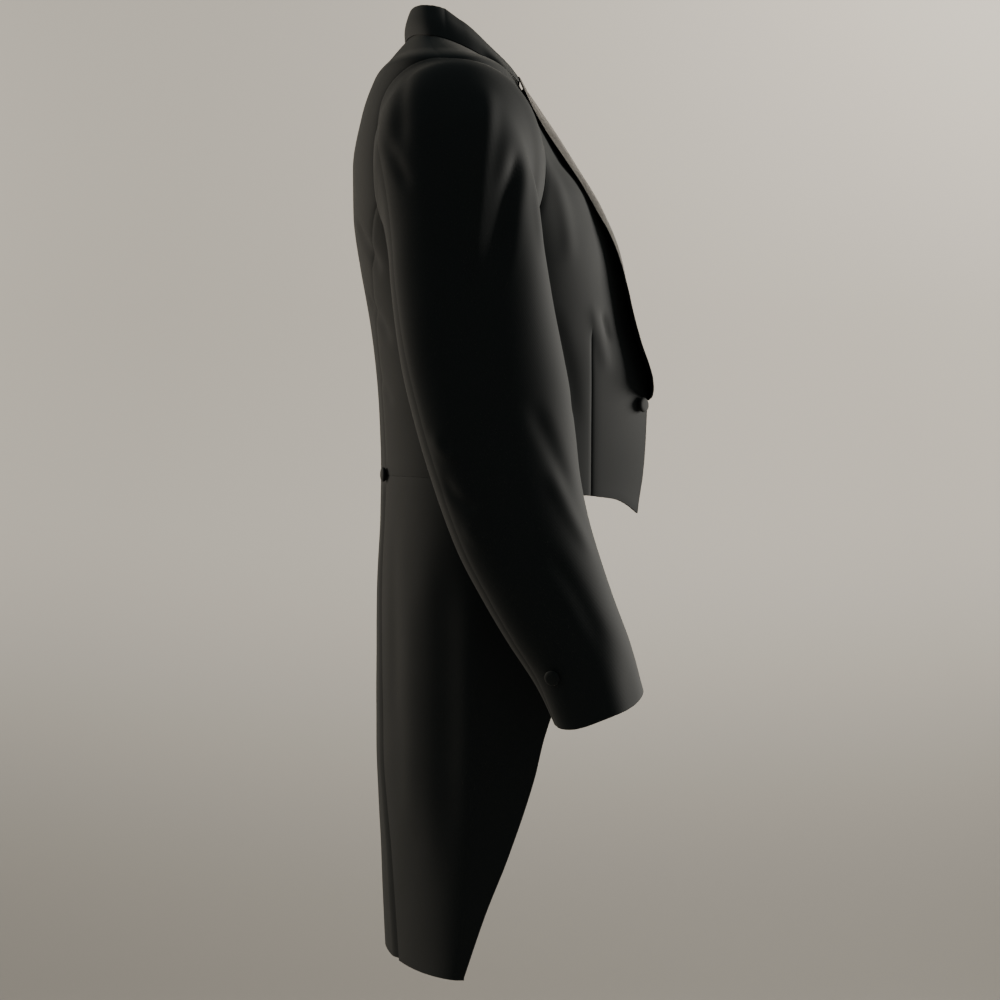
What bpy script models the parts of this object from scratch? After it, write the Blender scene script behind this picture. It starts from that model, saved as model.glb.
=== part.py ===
# White tie tailcoat in its worn form: hollow panels of cloth, meeting at their seams.
# Metres. +X is the wearer's front, -Y the wearer's right, +Z up.
# The origin is on the middle plane, level with the points where neck and shoulder meet.
import math
from types import SimpleNamespace

import bpy
from mathutils import Matrix, Vector

BODY_WALL = 0.0022       # coating with its canvas
SLEEVE_WALL = 0.0020
COLLAR_WALL = 0.0020
LAPEL_WALL = 0.0020
SEAM = 0.0003            # gap between two pieces that are sewn together
LAY = 0.0008             # gap under a piece that lies on another one
LEAF_LAY = 0.0022        # gap under the edge of the collar's leaf
CENTRE = math.pi         # angle of the centre back on every body section

NECK_Z = 0.0             # top edge of back and shoulders
SHOULDER_Z = -0.052      # outer end of the shoulder seam
UNDERARM_Z = -0.252
ARMHOLE_HALF_WIDTH = 0.085
ARMHOLE_X = 0.010        # middle of the armhole, halfway down it
SIDE_SEAM_X = (0.016, 0.030)          # at the underarm and at the waist
ARMHOLE_STEP = math.radians(18)       # between the points round an armhole and a sleeve
WAIST_LEVEL = -0.478     # level of the waist seam before it is bent to its line
WAIST_BEND = 0.075       # how far above and below the seam that bending reaches
HEM_BEND = 0.12
FRONT_BUTTON_Y = 0.0820
FRONT_BUTTON_Z = -0.3925
CUFF_BUTTON_AROUND = math.radians(132)
WAIST_BUTTON_Y = 0.062
WAIST_BUTTON_Z = -0.4655
TAIL_HEM_Z = -0.985
PLEAT_HEM_Y = 0.066
PLEAT_UNDERLAP = 0.018
PLEAT_DEPTH = 0.0042     # how far the back dips to pass under the pleat
DART_X = 0.143
DART_COLUMN = 4          # columns of the forepart in front of the dart
DART_TOP_Z = -0.314
LAPEL_FOOT_Z = -0.383
NOTCH_Z = -0.052
BUTTON_RADIUS = 0.0078
BUTTON_HEIGHT = 0.0052

BLACK_WOOL = (0.010, 0.010, 0.011, 1.0)
BLACK_SATIN = (0.016, 0.016, 0.018, 1.0)


class Table:
    # Rows of named columns, read at any value of the first column by a curve
    # that never swings past its rows.
    def __init__(self, columns, rows):
        self.columns = columns
        self.rows = sorted(rows)

    def slope(self, column, index):
        rows = self.rows
        if index == 0 or index == len(rows) - 1:
            other = 1 if index == 0 else index - 1
            return (rows[other][column] - rows[index][column]) / (rows[other][0] - rows[index][0])
        before = (rows[index][column] - rows[index - 1][column]) / (rows[index][0] - rows[index - 1][0])
        after = (rows[index + 1][column] - rows[index][column]) / (rows[index + 1][0] - rows[index][0])
        return 0.0 if before * after <= 0 else 2 * before * after / (before + after)

    def at(self, value):
        rows = self.rows
        value = min(max(value, rows[0][0]), rows[-1][0])
        index = max(i for i in range(len(rows) - 1) if rows[i][0] <= value)
        step = rows[index + 1][0] - rows[index][0]
        t = (value - rows[index][0]) / step
        found = {}
        for column, name in enumerate(self.columns):
            start, end = rows[index][column], rows[index + 1][column]
            found[name] = ((2 * t ** 3 - 3 * t ** 2 + 1) * start
                           + (t ** 3 - 2 * t ** 2 + t) * step * self.slope(column, index)
                           + (3 * t ** 2 - 2 * t ** 3) * end
                           + (t ** 3 - t ** 2) * step * self.slope(column, index + 1))
        return SimpleNamespace(**found)


# Inner face of the body cloth at each height. edge_x and edge_y place the front edge,
# side_x is where the section is widest, square is 2 for an ellipse and more for a box.
BODY = Table(
    ("z", "back_x", "side_x", "edge_x", "edge_y", "half_width", "back_square", "front_square"), (
        (0.000, -0.0510, -0.024, -0.010, 0.0740, 0.080, 2.1, 2.3),
        (-0.012, -0.0600, -0.024, 0.006, 0.0750, 0.109, 2.1, 2.5),
        (-0.030, -0.0720, -0.019, 0.034, 0.0760, 0.156, 2.2, 2.6),
        (-0.052, -0.0850, -0.011, 0.063, 0.0760, 0.212, 2.5, 3.0),
        (-0.093, -0.0970, 0.002, 0.094, 0.0750, 0.212, 3.2, 2.9),
        (-0.144, -0.1055, 0.012, 0.127, 0.0730, 0.205, 3.6, 2.7),
        (-0.190, -0.1055, 0.020, 0.154, 0.0720, 0.197, 3.4, 2.5),
        (-0.242, -0.0993, 0.030, 0.173, 0.0710, 0.186, 3.0, 2.3),
        (-0.310, -0.0880, 0.040, 0.187, 0.0700, 0.176, 2.7, 2.0),
        (-0.370, -0.0818, 0.048, 0.204, 0.0720, 0.170, 2.4, 1.6),
        (-0.420, -0.0793, 0.052, 0.2025, 0.0760, 0.167, 2.2, 1.45),
        (-0.467, -0.0783, 0.054, 0.1985, 0.0800, 0.166, 2.1, 1.4),
        (-0.507, -0.0790, 0.050, 0.1935, 0.0830, 0.167, 2.1, 1.5),
        (-0.600, -0.0835, 0.032, 0.200, 0.0830, 0.166, 2.0, 2.6),
        (-0.750, -0.0835, 0.024, 0.190, 0.0830, 0.157, 1.9, 2.8),
        (-0.870, -0.0790, 0.018, 0.180, 0.0830, 0.149, 1.7, 2.8),
        (-0.990, -0.0735, 0.004, 0.170, 0.0830, 0.142, 1.5, 2.8),
    ))

# Waist seam and front hem, by the angle round the body in degrees.
WAIST_LINE = Table(("angle", "z"), (
    (36.5, -0.5065), (41.5, -0.4975), (46, -0.4920), (52, -0.4895), (60, -0.4865),
    (90, -0.4780), (130, -0.4690), (180, -0.4650)))

# Hem of the tail, by the same angle.
HEM_LINE = Table(("angle", "z"), (
    (60, -0.9830), (90, -0.9875), (120, -0.9860), (150, -0.9810), (170, -0.9760), (180, -0.9730)))

# Cut-away front edge of the tail.
TAIL_EDGE = Table(("z", "x"), (
    (-0.480, 0.125), (-0.560, 0.124), (-0.610, 0.122), (-0.655, 0.1165), (-0.690, 0.109),
    (-0.740, 0.0935), (-0.780, 0.084), (-0.860, 0.0575), (-0.920, 0.034), (-0.985, 0.012)))

# Outer edge of the turned-back lapel: how far it lies from the middle plane.
LAPEL_EDGE = Table(("z", "y"), (
    (-0.052, 0.146), (-0.066, 0.140), (-0.100, 0.136), (-0.160, 0.128), (-0.215, 0.117),
    (-0.265, 0.110), (-0.318, 0.103), (-0.355, 0.098), (-0.376, 0.093), (-0.384, 0.080)))

# Collar, by how far along it is from the centre back to the notch: the height of its
# stand, and where the edge of its leaf lies on the back and shoulders.
COLLAR = Table(("along", "seam_angle", "seam_z", "stand", "lean", "leaf_angle", "leaf_z"), (
    (0.00, 180, 0.000, 0.032, 0.008, 180, 0.000),
    (0.15, 150, 0.000, 0.032, 0.008, 152, -0.001),
    (0.30, 120, 0.000, 0.031, 0.008, 124, -0.003),
    (0.45, 90, 0.000, 0.029, 0.007, 96, -0.007),
    (0.58, 60, -0.001, 0.026, 0.006, 68, -0.013),
    (0.72, 0, -0.014, 0.020, 0.004, 46, -0.023),
    (0.88, 0, -0.036, 0.013, 0.002, 28, -0.038),
    (1.00, 0, -0.054, 0.009, 0.000, 21, -0.052)))

# One row for each ring of the sleeve below the armhole: its middle, how its plane rolls
# out from level and pitches forward (degrees), and half its size fore-aft and across.
SLEEVE = [SimpleNamespace(x=row[0], y=row[1], z=row[2], roll=row[3], pitch=row[4], fore=row[5], across=row[6])
          for row in (
    (0.0060, -0.2090, -0.1540, 78.5, 0, 0.0820, 0.0990),
    (0.0030, -0.2180, -0.1600, 74.0, 0, 0.0780, 0.0990),
    (0.0010, -0.2265, -0.1710, 68.5, 0, 0.0755, 0.0945),
    (0.0045, -0.2325, -0.1880, 61.0, 1, 0.0745, 0.0855),
    (0.0100, -0.2360, -0.2115, 52.0, 2, 0.0750, 0.0730),
    (0.0145, -0.2375, -0.2400, 40.0, 4, 0.0750, 0.0600),
    (0.0190, -0.2385, -0.2770, 23.0, 6, 0.0765, 0.0505),
    (0.0255, -0.2395, -0.3220, 11.0, 8, 0.0775, 0.0475),
    (0.0335, -0.2400, -0.3640, 4.0, 9, 0.0780, 0.0465),
    (0.0420, -0.2405, -0.4040, 0.0, 11, 0.0770, 0.0460),
    (0.0500, -0.2405, -0.4420, 0.0, 12, 0.0740, 0.0455),
    (0.0590, -0.2405, -0.4820, 0.0, 15, 0.0700, 0.0450),
    (0.0720, -0.2400, -0.5260, 0.0, 19, 0.0655, 0.0445),
    (0.0890, -0.2385, -0.5670, 0.0, 22, 0.0605, 0.0440),
    (0.1090, -0.2365, -0.6110, 0.0, 23, 0.0550, 0.0430),
    (0.1290, -0.2345, -0.6520, 0.0, 22, 0.0500, 0.0420),
    (0.1455, -0.2330, -0.6860, 0.0, 20, 0.0455, 0.0415))]
CUFF_DROP = 0.011        # how much lower the outer side of the cuff hangs
SLEEVE_SQUARE = 2.2
FRONT_SLEEVE_SEAM = -2   # steps round the sleeve from its front, outer side positive
BACK_SLEEVE_SEAM = 9
SLEEVE_STEPS = 20


def smooth(value):
    value = min(max(value, 0.0), 1.0)
    return value * value * (3 - 2 * value)


def mix(start, end, share):
    return start + (end - start) * share


# ---- the body surface: an angle of 0 faces front, 90 degrees the right side, 180 back ----

def front_reach(row):
    share = (1 - (row.edge_y / row.half_width) ** row.front_square) ** (1 / row.front_square)
    return (row.edge_x - row.side_x) / share


def body_base(angle, z):
    row = BODY.at(z)
    forward = math.cos(angle)
    square = row.front_square if forward > 0 else row.back_square
    reach = front_reach(row) if forward > 0 else row.side_x - row.back_x
    x = row.side_x + math.copysign(reach * abs(forward) ** (2 / square), forward)
    y = -row.half_width * max(math.sin(angle), 0.0) ** (2 / square)
    return Vector((x, y, z))


def body_normal(angle, z):
    turn, rise = 0.01, 0.002
    angle = min(angle, CENTRE - turn)
    around = body_base(angle + turn, z) - body_base(angle - turn, z)
    up = body_base(angle, z + rise) - body_base(angle, z - rise)
    return up.cross(around).normalized()


def body_point(angle, z, out=0.0):
    point = body_base(angle, z)
    return point + body_normal(angle, z) * out if out else point


def angle_at_x(x, z):
    row = BODY.at(z)
    forward = x > row.side_x
    square = row.front_square if forward else row.back_square
    reach = front_reach(row) if forward else row.side_x - row.back_x
    share = min(abs(x - row.side_x) / reach, 1.0) ** (square / 2)
    return math.acos(share if forward else -share)


def angle_at_y(y, z, front):
    row = BODY.at(z)
    square = row.front_square if front else row.back_square
    angle = math.asin(min(y / row.half_width, 1.0) ** (square / 2))
    return angle if front else math.pi - angle


def front_edge(z):
    return angle_at_y(BODY.at(z).edge_y, z, front=True)


def armhole_z(around):
    return (SHOULDER_Z + UNDERARM_Z) / 2 + (SHOULDER_Z - UNDERARM_Z) / 2 * math.sin(around)


SIDE_BACK_TOP_Z = armhole_z(-ARMHOLE_STEP)
SIDE_BODY_TOP_Z = SIDE_BACK_TOP_Z - 0.004


def armhole_centre_x(z):
    share = smooth((SHOULDER_Z - z) / 0.09)
    low = mix(ARMHOLE_X, SIDE_SEAM_X[0], smooth((armhole_z(0) - z) / 0.1))
    return mix(BODY.at(SHOULDER_Z).side_x, low, share)


def armhole_angle(z, front):
    sine = (z - armhole_z(0)) / (SHOULDER_Z - armhole_z(0))
    reach = ARMHOLE_HALF_WIDTH * math.sqrt(max(1 - sine ** 2, 0.0))
    return angle_at_x(armhole_centre_x(z) + (reach if front else -reach), z)


def side_seam(z):
    share = (UNDERARM_Z - z) / (UNDERARM_Z - WAIST_BUTTON_Z)
    return angle_at_x(mix(*SIDE_SEAM_X, share), z)


def side_back_seam(z):
    start = -body_base(armhole_angle(SIDE_BACK_TOP_Z, False), SIDE_BACK_TOP_Z).y
    share = min(max((SIDE_BACK_TOP_Z - z) / (SIDE_BACK_TOP_Z - WAIST_BUTTON_Z), 0.0), 1.0)
    return angle_at_y(WAIST_BUTTON_Y + (start - WAIST_BUTTON_Y) * (1 - share) ** 2.2, z, front=False)


def pleat_line(z):
    share = (WAIST_BUTTON_Z - z) / (WAIST_BUTTON_Z - TAIL_HEM_Z)
    return angle_at_y(mix(WAIST_BUTTON_Y, PLEAT_HEM_Y, share), z, front=False)


def shoulder_or_armhole(z, front):
    return math.pi / 2 if z >= SHOULDER_Z else armhole_angle(z, front)


def forepart_side(z):
    return side_seam(z) if z <= UNDERARM_Z else shoulder_or_armhole(z, True)


def side_body_front(z):
    return side_seam(z) if z <= UNDERARM_Z else armhole_angle(z, False)


def back_side(z):
    if z < WAIST_BUTTON_Z:
        return pleat_line(z)
    return side_back_seam(z) if z <= SIDE_BACK_TOP_Z else shoulder_or_armhole(z, False)


def tail_front(z):
    return angle_at_x(TAIL_EDGE.at(z).x, z)


# ---- panels: rows of points from hem to top, each from front to back ----

def levels_between(low, high):
    # The same levels serve every panel, so that neighbours share the points of a seam.
    shoulder = [SHOULDER_Z * share for share in (0.0, 0.10, 0.23, 0.38, 0.56, 0.77)]
    armhole = [armhole_z(ARMHOLE_STEP * step) for step in range(-5, 6)] + [SIDE_BODY_TOP_Z]
    waist = [mix(UNDERARM_Z, DART_TOP_Z, share) for share in (0.5, 1.0)]
    waist += [mix(DART_TOP_Z, WAIST_LEVEL, step / 6) for step in range(1, 7)]
    tail = [WAIST_LEVEL - drop for drop in (0.012, 0.026, 0.055)]
    tail += [mix(WAIST_LEVEL - 0.055, TAIL_HEM_Z, step / 8) for step in range(1, 9)]
    return [z for z in sorted(shoulder + armhole + waist + tail) if low - 1e-6 <= z <= high + 1e-6]


def bent(angle, z):
    # The height that a level has at this angle: it follows the waist seam and the hem.
    turn = math.degrees(angle)
    waist = (WAIST_LINE.at(turn).z - WAIST_LEVEL) * smooth(1 - abs(z - WAIST_LEVEL) / WAIST_BEND)
    hem = (HEM_LINE.at(turn).z - TAIL_HEM_Z) * smooth(1 - (z - TAIL_HEM_Z) / HEM_BEND)
    return z + waist + hem


def seam_angle(seam, level):
    return seam(bent(seam(level), level))


def columns_between(start, end, count, level, lift=None, raised=0.0):
    # Points across a panel, half a seam short of each of its two edges.
    points = []
    for i in range(count + 1):
        angle = mix(start, end, i / count)
        z = bent(angle, level) + raised
        points.append(body_point(angle, z, lift(angle, z) if lift else 0.0))
    first = (points[1] - points[0]).normalized()
    last = (points[-2] - points[-1]).normalized()
    points[0] += first * SEAM / 2
    points[-1] += last * SEAM / 2
    return points


def forepart_rows():
    # The dart is a slit between its two columns of points, up to DART_TOP_Z.
    top_start, top_end = front_edge(DART_TOP_Z), forepart_side(DART_TOP_Z)
    top_share = (angle_at_x(DART_X, DART_TOP_Z) - top_start) / (top_end - top_start)
    levels = levels_between(WAIST_LEVEL, NECK_Z)
    rows = []
    for level in levels:
        start, end = seam_angle(front_edge, level), seam_angle(forepart_side, level)
        dart = seam_angle(lambda z: angle_at_x(DART_X, z), level)
        if level > DART_TOP_Z:
            dart = mix(start, end, top_share)
        raised = SEAM if level == WAIST_LEVEL else 0.0
        rows.append(columns_between(start, dart, DART_COLUMN, level, raised=raised)
                    + columns_between(dart, end, 4, level, raised=raised))
    slit = [(row, DART_COLUMN) for row, level in enumerate(levels) if level < DART_TOP_Z - 1e-6]
    return rows, slit


def side_body_rows():
    return [columns_between(seam_angle(side_body_front, level), seam_angle(back_side, level), 4, level,
                            raised=SEAM if level == WAIST_LEVEL else 0.0)
            for level in levels_between(WAIST_LEVEL, SIDE_BODY_TOP_Z)]


def back_rows():
    rows = []
    for level in levels_between(TAIL_HEM_Z, NECK_Z):
        edge = seam_angle(back_side, level)
        reach = -body_base(edge, bent(edge, level)).y
        sunk = smooth((WAIST_LEVEL - 0.002 - level) / 0.020)
        under = PLEAT_UNDERLAP * smooth((WAIST_LEVEL - 0.018 - level) / 0.030)
        start = angle_at_y(reach + under, level, front=False) if under else edge

        def sink(angle, z):
            # The cloth dips under the pleat of the skirt.
            near = smooth((-body_base(angle, z).y - reach + 0.018) / 0.014)
            return -PLEAT_DEPTH * sunk * near
        rows.append(columns_between(start, CENTRE, 6, level, sink))
    return rows


def skirt_rows():
    levels = levels_between(TAIL_HEM_Z, WAIST_LEVEL)
    return [columns_between(seam_angle(tail_front, level), seam_angle(pleat_line, level), 9, level,
                            raised=-SEAM if level == levels[-1] else 0.0)
            for level in levels]


def lapel_rows():
    # The lapel's top slopes up to the peak; it lies on the forepart.
    rows = []
    count, across = 13, 4
    for j in range(count + 1):
        row = []
        for i in range(across + 1):
            top = mix(NOTCH_Z - 0.012, NOTCH_Z, (i / across) ** 1.5)
            foot = mix(LAPEL_FOOT_Z - 0.001, LAPEL_FOOT_Z + 0.003, i / across)
            z = mix(foot, top, j / count)
            start = front_edge(z) + 0.002
            end = angle_at_y(LAPEL_EDGE.at(z).y, z, front=True)
            row.append(body_point(mix(start, end, i / across), z, BODY_WALL + LAY))
        rows.append(row)
    return rows


# ---- collar: half of it, from the centre back to the notch ----

def collar_seam(row):
    angle = math.radians(row.seam_angle)
    return body_base(max(angle, front_edge(row.seam_z)), row.seam_z)


def collar_fold(row):
    seam = collar_seam(row)
    inward = Vector((BODY.at(row.seam_z).side_x - seam.x, -seam.y, 0))
    inward = inward.normalized() if inward.length else Vector((1, 0, 0))
    return seam + inward * row.lean + Vector((0, 0, row.stand))


def collar_steps():
    count = 12
    return [COLLAR.at(i / count) for i in range(count + 1)]


def stand_rows():
    lines = []
    for row in collar_steps():
        seam = collar_seam(row) + Vector((0, 0, SEAM * 5))
        seam += (Vector((0, 0, seam.z)) - seam).normalized() * SEAM * 2
        lines.append([seam.lerp(collar_fold(row), share / 2) for share in range(3)])
    return [list(level) for level in zip(*lines)]


def leaf_rows():
    lines = []
    for row in collar_steps():
        edge = body_point(math.radians(row.leaf_angle), row.leaf_z, BODY_WALL + LEAF_LAY)
        fold = collar_fold(row)
        away = Vector((edge.x - fold.x, edge.y - fold.y, 0))
        away = away.normalized() * (COLLAR_WALL + SEAM * 2)
        fold = fold + away
        bulge = Vector((away.x, away.y, 0.002)) * 1.2
        line = []
        for step in range(4):
            share = step / 3
            line.append(edge.lerp(fold, share) + bulge * math.sin(math.pi * share))
        lines.append(line)
    return [list(level) for level in zip(*lines)]


# ---- sleeve ----

def ring_point(ring, around):
    # A point of one ring: 0 is its front, 90 degrees its outer side.
    roll, pitch = math.radians(ring.roll), math.radians(ring.pitch)
    fore = Vector((math.cos(pitch), 0, math.sin(pitch)))
    outer = Vector((0, -math.cos(roll), math.sin(roll)))
    forward, outward = math.cos(around), math.sin(around)
    power = 2 / SLEEVE_SQUARE
    return (Vector((ring.x, ring.y, ring.z))
            + fore * math.copysign(ring.fore * abs(forward) ** power, forward)
            + outer * math.copysign(ring.across * abs(outward) ** power, outward))


def armhole_point(around):
    # On the edge of the armhole, clear of the body cloth, whose wall stands outside it.
    z = armhole_z(around)
    x = armhole_centre_x(z) + ARMHOLE_HALF_WIDTH * math.cos(around)
    angle = angle_at_x(x, z)
    outward = max(-body_normal(angle, z).y, 0.0) * BODY_WALL + 4 * SEAM
    point = body_base(angle, z)
    inward = Vector((armhole_centre_x(z) - point.x, 0, armhole_z(0) - z)).normalized()
    lift = SLEEVE_WALL * (1 - math.sin(around)) / 2 + 2 * SEAM
    return point + Vector((0, -outward, 0)) + inward * lift


def sleeve_rows(start, end):
    # From the cuff up to the armhole, between two seams given in steps.
    rows = []
    for number in range(len(SLEEVE) + 1):
        ring = SLEEVE[max(number - 1, 0)]
        inset = SEAM / ring.fore
        row = []
        for step in range(start, end + 1):
            around = step * ARMHOLE_STEP + (inset if step == start else -inset if step == end else 0.0)
            if number == 0:
                point = armhole_point(around)
            else:
                point = ring_point(ring, around)
            if number == len(SLEEVE):
                point.z -= CUFF_DROP * (1 + math.sin(around))
            row.append(point)
        rows.append(row)
    return rows[::-1]


# ---- making the objects ----

def make_material(name, color, roughness, sheen):
    material = bpy.data.materials.new(name)
    material.use_nodes = True
    shader = material.node_tree.nodes["Principled BSDF"]
    shader.inputs["Base Color"].default_value = color
    shader.inputs["Roughness"].default_value = roughness
    shader.inputs["Metallic"].default_value = 0.0
    shader.inputs["Sheen Weight"].default_value = sheen
    material.diffuse_color = color
    return material


def make_object(name, points, faces, material, collection):
    mesh = bpy.data.meshes.new(name)
    mesh.from_pydata(points, [], faces)
    mesh.materials.append(material)
    mesh.shade_smooth()
    item = bpy.data.objects.new(name, mesh)
    collection.objects.link(item)
    return item


def make_panel(name, rows, wall, material, collection, side, slits=()):
    # An open surface through the rows, given its thickness on the outside.
    across = len(rows[0])
    points = [(p.x, p.y * side, p.z) for row in rows for p in row]
    faces = []
    for j in range(len(rows) - 1):
        for i in range(across - 1):
            if (j, i) in slits:
                continue
            corners = (j * across + i, (j + 1) * across + i, (j + 1) * across + i + 1, j * across + i + 1)
            faces.append(corners if side > 0 else corners[::-1])
    item = make_object(name, points, faces, material, collection)
    shell = item.modifiers.new("Cloth", "SOLIDIFY")
    shell.thickness = wall
    shell.offset = 1.0
    return item


def join_at_centre(item):
    # Adds the left half of a piece that runs across the centre back.
    mirror = item.modifiers.new("Left half", "MIRROR")
    mirror.use_axis = (False, True, False)
    mirror.merge_threshold = 0.0001
    item.modifiers.move(len(item.modifiers) - 1, 0)


def make_button(name, place, normal, material, collection):
    # A domed, cloth-covered button, turned from its profile.
    radius, height = BUTTON_RADIUS, BUTTON_HEIGHT
    profile = [(0, height), (radius * 0.55, height * 0.95), (radius * 0.86, height * 0.80),
               (radius, height * 0.50), (radius * 0.93, height * 0.20), (radius * 0.70, 0), (0, 0)]
    item = make_object(name, [(r, 0, z) for r, z in profile], [], material, collection)
    mesh = item.data
    mesh.edges.add(len(profile) - 1)
    for i, edge in enumerate(mesh.edges):
        edge.vertices = (i, i + 1)
    turn = item.modifiers.new("Turn", "SCREW")
    turn.steps = turn.render_steps = 16
    turn.use_merge_vertices = True
    turn.merge_threshold = 0.00005
    item.matrix_world = Matrix.Translation(place) @ normal.to_track_quat("Z", "Y").to_matrix().to_4x4()
    return item


def on_side(vector, side):
    return Vector((vector.x, vector.y * side, vector.z))


def body_button(name, y, z, front, material, collection, side):
    angle = angle_at_y(y, z, front)
    normal = body_normal(angle, z)
    place = body_base(angle, z) + normal * (BODY_WALL + LAY)
    make_button(name, on_side(place, side), on_side(normal, side), material, collection)


def cuff_button(name, material, collection, side):
    ring, above = SLEEVE[-2], SLEEVE[-3]
    around = CUFF_BUTTON_AROUND
    place = ring_point(ring, around)
    along = ring_point(above, around) - place
    across = ring_point(ring, around + 0.1) - ring_point(ring, around - 0.1)
    normal = along.cross(across).normalized()
    place = place + normal * (SLEEVE_WALL + LAY)
    make_button(name, on_side(place, side), on_side(normal, side), material, collection)


def main():
    for item in list(bpy.data.objects):
        bpy.data.objects.remove(item, do_unlink=True)
    coat = bpy.data.collections.new("tailcoat")
    bpy.context.scene.collection.children.link(coat)

    def wool(name):
        return make_material(name, BLACK_WOOL, 0.85, 0.3)

    def satin(name):
        return make_material(name, BLACK_SATIN, 0.35, 0.1)

    forepart, dart = forepart_rows()
    side_body = side_body_rows()
    back = back_rows()
    skirt = skirt_rows()
    lapel = lapel_rows()
    top_sleeve = sleeve_rows(FRONT_SLEEVE_SEAM, BACK_SLEEVE_SEAM)
    under_sleeve = sleeve_rows(BACK_SLEEVE_SEAM, FRONT_SLEEVE_SEAM + SLEEVE_STEPS)
    for letter, side in (("R", 1), ("L", -1)):
        make_panel("forepart_" + letter, forepart, BODY_WALL, wool("forepart wool"), coat, side, dart)
        make_panel("side_body_" + letter, side_body, BODY_WALL, wool("side body wool"), coat, side)
        make_panel("back_" + letter, back, BODY_WALL, wool("back wool"), coat, side)
        make_panel("skirt_" + letter, skirt, BODY_WALL, wool("skirt wool"), coat, side)
        make_panel("lapel_" + letter, lapel, LAPEL_WALL, satin("lapel satin"), coat, side)
        make_panel("top_sleeve_" + letter, top_sleeve, SLEEVE_WALL, wool("top sleeve wool"), coat, side)
        make_panel("under_sleeve_" + letter, under_sleeve, SLEEVE_WALL, wool("under sleeve wool"), coat, side)
        body_button("front_button_" + letter, FRONT_BUTTON_Y, FRONT_BUTTON_Z, True,
                    satin("front button satin"), coat, side)
        body_button("waist_button_" + letter, WAIST_BUTTON_Y, WAIST_BUTTON_Z, False,
                    satin("waist button satin"), coat, side)
        cuff_button("cuff_button_" + letter, satin("cuff button satin"), coat, side)

    stand = make_panel("collar_stand", stand_rows(), COLLAR_WALL, wool("collar stand wool"), coat, -1)
    leaf = make_panel("collar_leaf", leaf_rows(), COLLAR_WALL, wool("collar leaf wool"), coat, -1)
    for item in (stand, leaf):
        join_at_centre(item)


main()
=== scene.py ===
import math
from types import SimpleNamespace

import bpy
import numpy as np
from mathutils import Matrix, Vector


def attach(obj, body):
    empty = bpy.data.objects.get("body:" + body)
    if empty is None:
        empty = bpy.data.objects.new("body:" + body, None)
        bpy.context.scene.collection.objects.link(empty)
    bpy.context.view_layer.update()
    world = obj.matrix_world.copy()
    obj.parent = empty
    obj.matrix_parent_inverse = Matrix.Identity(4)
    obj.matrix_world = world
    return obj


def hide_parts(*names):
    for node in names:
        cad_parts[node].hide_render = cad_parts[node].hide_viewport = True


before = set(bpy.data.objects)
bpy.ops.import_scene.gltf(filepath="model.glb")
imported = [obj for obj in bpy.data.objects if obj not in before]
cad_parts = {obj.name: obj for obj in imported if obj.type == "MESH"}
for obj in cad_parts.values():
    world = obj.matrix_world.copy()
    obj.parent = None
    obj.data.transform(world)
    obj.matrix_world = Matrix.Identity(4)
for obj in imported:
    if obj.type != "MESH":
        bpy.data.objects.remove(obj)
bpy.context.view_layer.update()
print("frame loaded")


# small tools

def smooth(value):
    value = np.clip(value, 0.0, 1.0)
    return value * value * (3 - 2 * value)


def mix(start, end, share):
    return start + (end - start) * share


def unit(vectors):
    return vectors / np.maximum(np.linalg.norm(vectors, axis=-1, keepdims=True), 1e-12)


def point(x, y, z):
    return np.stack(np.broadcast_arrays(np.asarray(x, float), y, z), -1)


def makeCurves(columns, rows):
    # Smooth curves through the rows, read by the first column; they never swing past a row.
    table = np.array(sorted(rows), float)
    keys = table[:, 0]
    curves = {}
    for column, name in enumerate(columns):
        values = table[:, column]
        secants = np.diff(values) / np.diff(keys)
        before, after = secants[:-1], secants[1:]
        together = before * after > 0
        total = np.where(together, before + after, 1.0)
        inner = np.where(together, 2 * before * after / total, 0.0)
        curves[name] = (values, np.concatenate([secants[:1], inner, secants[-1:]]))

    def read(key):
        key = np.clip(np.asarray(key, float), keys[0], keys[-1])
        i = np.clip(np.searchsorted(keys, key, side="right") - 1, 0, len(keys) - 2)
        step = keys[i + 1] - keys[i]
        t = (key - keys[i]) / step
        found = {}
        for name, (values, slopes) in curves.items():
            found[name] = ((2 * t ** 3 - 3 * t ** 2 + 1) * values[i]
                           + (t ** 3 - 2 * t ** 2 + t) * step * slopes[i]
                           + (3 * t ** 2 - 2 * t ** 3) * values[i + 1]
                           + (t ** 3 - t ** 2) * step * slopes[i + 1])
        return SimpleNamespace(**found)
    return read


# the form of the worn body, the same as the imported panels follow

body = {
    "wall": 0.0021,
    "shoulderZ": -0.052,
    "underarmZ": -0.252,
    "armholeHalfWidth": 0.085,
    "armholeX": 0.010,
    "sideSeamX": (0.016, 0.030),
    "waistLevel": -0.478,
    "waistBend": 0.075,
    "hemBend": 0.12,
    "tailHemZ": -0.985,
    "waistButton": (0.062, -0.4655),     # distance from the middle, height
    "frontButton": (0.0820, -0.3925),
    "pleatHemY": 0.066,
    "pleatUnderlap": 0.018,
    "pleatDepth": 0.0046,
    "dartX": 0.143,
    "dartTopZ": -0.314,
    "grain": 0.0042,                     # spacing of the cloth's points
    "columns": {"forepart": 40, "side_body": 26, "back": 26, "tail": 46},
    "beforeDart": 0.42,                  # share of the forepart's columns before its dart
}

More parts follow.
